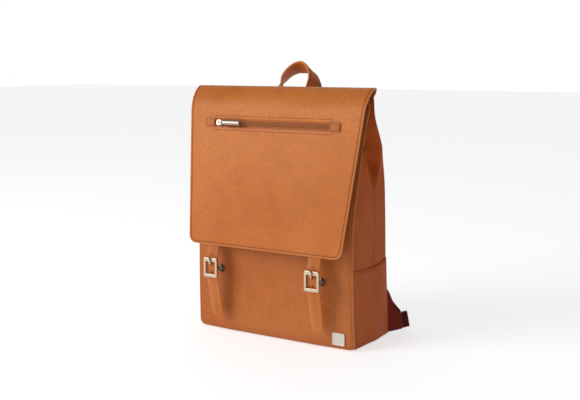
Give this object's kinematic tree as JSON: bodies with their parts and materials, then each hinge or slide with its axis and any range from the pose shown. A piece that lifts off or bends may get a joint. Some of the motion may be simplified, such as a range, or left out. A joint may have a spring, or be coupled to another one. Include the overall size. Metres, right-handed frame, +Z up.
{
  "type": "leather backpack",
  "caption": "Upright leather backpack with a fold-over flap, zip pocket on the flap, buckled closure straps, top handle and shoulder straps.",
  "frame": {"origin": "middle of the flat base, on the surface that the bag stands on", "axes": "+Z up, the front with its flap faces -Y, +X to the right of someone facing the front"},
  "size_m": [0.3124, 0.1915, 0.4207],
  "materials": {
    "leather_shell": "smooth",
    "leather_flap": "smooth",
    "leather_trim": "smooth",
    "leather_dark": "smooth",
    "webbing": "woven",
    "lining_cloth": "woven",
    "padding_foam": "matte",
    "stiffener": "matte",
    "polished_metal": "polished",
    "zip_metal": "satin",
    "zip_cloth": "woven",
    "adjuster_metal": "satin"
  },
  "bodies": {
    "bag": {"base_panel": "leather_shell", "base_board": "stiffener", "front_panel": "leather_shell", "back_panel": "leather_shell", "side_yoke_left": "leather_shell", "side_yoke_right": "leather_shell", "gusset_left": "leather_shell", "gusset_right": "leather_shell", "seam_piping_left": "leather_shell", "seam_piping_right": "leather_shell", "lining": "lining_cloth", "back_padding": "padding_foam", "laptop_sleeve": "lining_cloth", "mouth_stud_front": "polished_metal", "mouth_stud_back": "polished_metal", "flap_root": "leather_flap", "snap_female_left": "polished_metal", "snap_female_right": "polished_metal", "badge_plate": "polished_metal", "handle_end_left": "leather_trim", "handle_end_right": "leather_trim", "handle_patch": "leather_trim", "strap_yoke_left": "leather_dark", "strap_yoke_right": "leather_dark", "strap_tab_left": "leather_dark", "strap_tab_right": "leather_dark", "adjuster_left": "adjuster_metal", "adjuster_right": "adjuster_metal"},
    "flap": {"flap_panel": "leather_flap", "flap_lining": "lining_cloth", "flap_pocket": "lining_cloth", "zip_tape": "zip_cloth", "zip_teeth_lower": "zip_metal", "zip_teeth_upper": "zip_metal", "zip_frame": "leather_trim", "zip_tab_left": "leather_trim", "zip_tab_right": "leather_trim", "closure_root_left": "leather_trim", "closure_root_right": "leather_trim"},
    "zip_slider": {"zip_slider": "polished_metal"},
    "zip_pull": {"zip_pull_link": "polished_metal", "zip_pull_tube": "polished_metal"},
    "closure_left": {"closure_strap_left": "leather_trim", "buckle_left": "polished_metal", "buckle_tab_left": "leather_trim", "snap_male_left": "polished_metal"},
    "prong_left": {"buckle_prong_left": "polished_metal"},
    "closure_right": {"closure_strap_right": "leather_trim", "buckle_right": "polished_metal", "buckle_tab_right": "leather_trim", "snap_male_right": "polished_metal"},
    "prong_right": {"buckle_prong_right": "polished_metal"},
    "handle": {"handle": "leather_trim"},
    "shoulder_left": {"shoulder_pad_left": "leather_dark", "shoulder_webbing_left": "webbing"},
    "shoulder_right": {"shoulder_pad_right": "leather_dark", "shoulder_webbing_right": "webbing"}
  },
  "joints": [
    {"name": "flap_hinge", "type": "hinge", "parent": "bag", "child": "flap", "pos_m": [0, -0.03, 0.3823], "axis": [-1, 0, 0], "range_deg": [0, 160]},
    {"name": "zip_slide", "type": "slide", "parent": "flap", "child": "zip_slider", "axis": [1, 0, 0], "range_m": [0, 0.186]},
    {"name": "zip_pull_swing", "type": "hinge", "parent": "zip_slider", "child": "zip_pull", "pos_m": [-0.094, -0.06588, 0.32668], "axis": [0, -0.1599, -0.9871], "range_deg": [0, 150]},
    {"name": "closure_left_swing", "type": "hinge", "parent": "flap", "child": "closure_left", "pos_m": [-0.09, -0.0878, 0.1375], "axis": [-1, 0, 0], "range_deg": [0, 100]},
    {"name": "prong_left_lift", "type": "hinge", "parent": "closure_left", "child": "prong_left", "pos_m": [-0.09, -0.0989, 0.1199], "axis": [-1, 0, 0], "range_deg": [0, 70]},
    {"name": "closure_right_swing", "type": "hinge", "parent": "flap", "child": "closure_right", "pos_m": [0.09, -0.0878, 0.1375], "axis": [-1, 0, 0], "range_deg": [0, 100]},
    {"name": "prong_right_lift", "type": "hinge", "parent": "closure_right", "child": "prong_right", "pos_m": [0.09, -0.0989, 0.1199], "axis": [-1, 0, 0], "range_deg": [0, 70]},
    {"name": "handle_fold", "type": "hinge", "parent": "bag", "child": "handle", "pos_m": [0, 0.005, 0.3712], "axis": [-1, 0, 0], "range_deg": [-10, 45]},
    {"name": "shoulder_left_swing", "type": "hinge", "parent": "bag", "child": "shoulder_left", "pos_m": [-0.048, 0.02, 0.334], "axis": [0.2982, -0.1929, 0.9348], "range_deg": [0, 16]},
    {"name": "shoulder_right_swing", "type": "hinge", "parent": "bag", "child": "shoulder_right", "pos_m": [0.048, 0.02, 0.334], "axis": [0.2982, 0.1929, -0.9348], "range_deg": [0, 16]}
  ]
}
